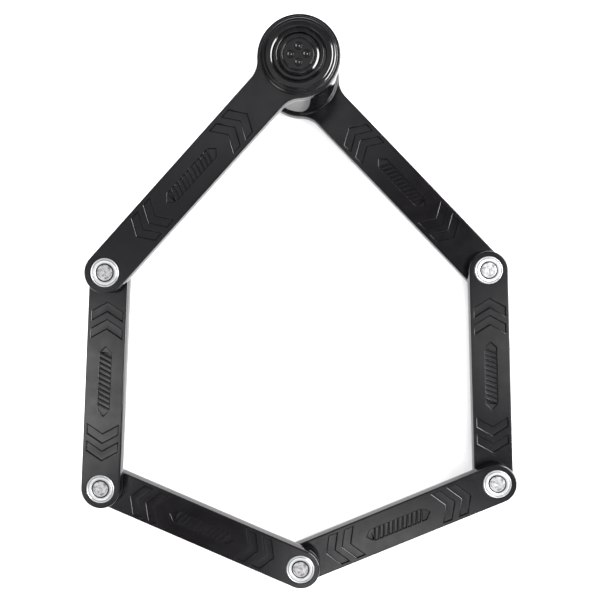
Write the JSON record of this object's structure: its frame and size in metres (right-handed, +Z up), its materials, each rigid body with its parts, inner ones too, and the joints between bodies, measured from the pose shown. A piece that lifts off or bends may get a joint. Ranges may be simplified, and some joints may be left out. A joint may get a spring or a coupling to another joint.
{
  "type": "folding bike lock",
  "caption": "Folding bike lock of flat covered steel links riveted end to end, closed into a loop by a round key lock with a stepped cap.",
  "frame": {"origin": "on the surface the lock lies on, under the middle of its footprint", "axes": "+Z up out of the loop, from the link that lies lowest to the cap; +Y towards the round lock"},
  "size_m": [0.308, 0.3962, 0.0503],
  "materials": {
    "link_cover": "satin charcoal-black moulded cover",
    "steel_bar": "flat hardened steel, oiled",
    "rivet_steel": "rough peened steel",
    "zinc_washer": "bright turned and zinc plated",
    "barrel_gloss": "high-gloss black",
    "cap_satin": "turned satin black",
    "cylinder_brass": "machined brass",
    "hardened_steel": "ground hardened steel"
  },
  "bodies": {
    "lock_body": {"link_1_bar": "steel_bar", "link_1_cover": "link_cover", "rivet_1": "rivet_steel", "front_washer_1": "zinc_washer", "rear_washer_1": "zinc_washer", "spacer_1": "zinc_washer", "barrel_sleeve": "barrel_gloss", "barrel_body": "hardened_steel", "barrel_end_plate": "hardened_steel", "cylinder_case": "cylinder_brass", "rear_trim_ring": "zinc_washer"},
    "link_2": {"link_2_bar": "steel_bar", "link_2_cover": "link_cover", "rivet_2": "rivet_steel", "front_washer_2": "zinc_washer", "rear_washer_2": "zinc_washer", "spacer_2": "zinc_washer"},
    "link_3": {"link_3_bar": "steel_bar", "link_3_cover": "link_cover", "rivet_3": "rivet_steel", "front_washer_3": "zinc_washer", "rear_washer_3": "zinc_washer", "spacer_3": "zinc_washer"},
    "link_4": {"link_4_bar": "steel_bar", "link_4_cover": "link_cover", "rivet_4": "rivet_steel", "front_washer_4": "zinc_washer", "rear_washer_4": "zinc_washer", "spacer_4": "zinc_washer"},
    "link_5": {"link_5_bar": "steel_bar", "link_5_cover": "link_cover", "rivet_5": "rivet_steel", "front_washer_5": "zinc_washer", "rear_washer_5": "zinc_washer", "spacer_5": "zinc_washer"},
    "link_6": {"link_6_bar": "steel_bar", "link_6_cover": "link_cover", "keeper_ring": "hardened_steel", "front_cap": "cap_satin", "cap_insert": "cap_satin", "cap_pin_1": "cap_satin", "cap_pin_2": "cap_satin", "cap_pin_3": "cap_satin", "cap_pin_4": "cap_satin"},
    "key_plug": {"key_plug": "cylinder_brass", "sidebar": "hardened_steel", "cam_driver": "hardened_steel", "lock_disc_1": "hardened_steel", "lock_disc_2": "hardened_steel", "lock_disc_3": "hardened_steel", "lock_disc_4": "hardened_steel", "lock_disc_5": "hardened_steel"},
    "dust_cover": {"dust_cover": "barrel_gloss"},
    "spigot": {"locking_spigot": "hardened_steel"},
    "wedge": {"wedge_pin": "hardened_steel"},
    "ball_1": {"locking_ball_1": "hardened_steel"},
    "ball_2": {"locking_ball_2": "hardened_steel"},
    "ball_3": {"locking_ball_3": "hardened_steel"}
  },
  "joints": [
    {"name": "hinge_1", "type": "hinge", "parent": "lock_body", "child": "link_2", "pos_m": [0.13524, 0.02802, 0.0076], "axis": [0, 0, 1], "range_deg": [-75, 221.8]},
    {"name": "hinge_2", "type": "hinge", "parent": "link_2", "child": "link_3", "pos_m": [0.14002, -0.1239, 0.0156], "axis": [0, 0, 1], "range_deg": [-25, 248.4]},
    {"name": "hinge_3", "type": "hinge", "parent": "link_3", "child": "link_4", "pos_m": [0.00047, -0.18416, 0.0236], "axis": [0, 0, 1], "range_deg": [-134.2, 225.8]},
    {"name": "hinge_4", "type": "hinge", "parent": "link_4", "child": "link_5", "pos_m": [-0.14002, -0.12613, 0.0316], "axis": [0, 0, 1], "range_deg": [-109.6, 250.4]},
    {"name": "hinge_5", "type": "hinge", "parent": "link_5", "child": "link_6", "pos_m": [-0.13259, 0.02569, 0.0396], "axis": [0, 0, 1], "range_deg": [-140.2, 219.8]},
    {"name": "key_turn", "type": "hinge", "parent": "lock_body", "child": "key_plug", "pos_m": [0.00008, 0.16996, 0.0122], "axis": [0, 0, 1], "range_deg": [0, 90]},
    {"name": "dust_cover_turn", "type": "hinge", "parent": "lock_body", "child": "dust_cover", "pos_m": [0.00008, 0.16996, 0.0016], "axis": [0, 0, 1], "range_deg": [0, 90]},
    {"name": "spigot_rise", "type": "slide", "parent": "lock_body", "child": "spigot", "axis": [0, 0, 1], "range_m": [0, 0.0078]},
    {"name": "wedge_rise", "type": "slide", "parent": "spigot", "child": "wedge", "axis": [0, 0, 1], "range_m": [0, 0.0029]},
    {"name": "ball_1_out", "type": "slide", "parent": "spigot", "child": "ball_1", "axis": [0, 1, 0], "range_m": [0, 0.0013]},
    {"name": "ball_2_out", "type": "slide", "parent": "spigot", "child": "ball_2", "axis": [-0.866, -0.5, 0], "range_m": [0, 0.0013]},
    {"name": "ball_3_out", "type": "slide", "parent": "spigot", "child": "ball_3", "axis": [0.866, -0.5, 0], "range_m": [0, 0.0013]}
  ],
  "couplings": [
    {"joint": "key_turn", "follows": "spigot_rise", "rad_per_m": 201.38},
    {"joint": "ball_1_out", "follows": "wedge_rise", "ratio": 0.44828},
    {"joint": "ball_2_out", "follows": "wedge_rise", "ratio": 0.44828},
    {"joint": "ball_3_out", "follows": "wedge_rise", "ratio": 0.44828}
  ]
}
